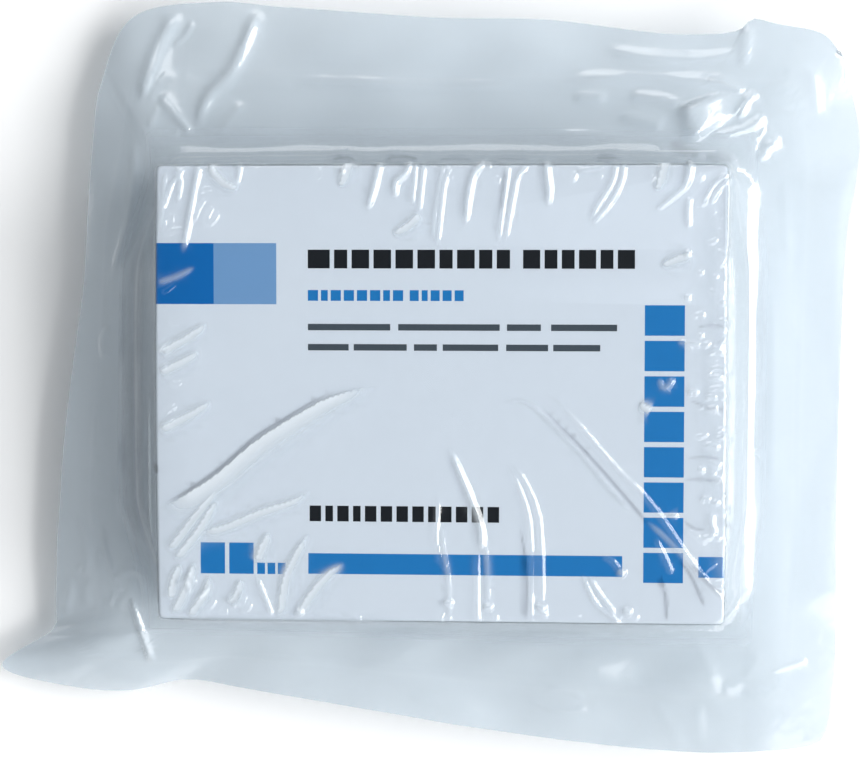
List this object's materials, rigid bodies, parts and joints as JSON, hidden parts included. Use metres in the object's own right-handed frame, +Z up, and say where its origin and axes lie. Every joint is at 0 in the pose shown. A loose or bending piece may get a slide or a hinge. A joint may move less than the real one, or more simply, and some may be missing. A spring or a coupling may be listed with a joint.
{
  "type": "vacuum-sealed carton of microscope slides",
  "caption": "Closed white card carton of glass microscope slides, vacuum-sealed in a clear film pouch with a wavy sealed flange all round.",
  "frame": {"origin": "middle of the carton's footprint, on the flat underside of the back film, which rests on the table", "axes": "+X along the carton's long side, +Y towards the head of its front panel, +Z up, out of the front panel"},
  "size_m": [0.1285, 0.1108, 0.0305],
  "materials": {
    "card": "smooth coated white card with printed fields",
    "film": "clear glossy heat-sealed film"
  },
  "bodies": {
    "root": {"carton": "card", "pouch_front_film": "film", "pouch_back_film": "film"}
  },
  "joints": []
}
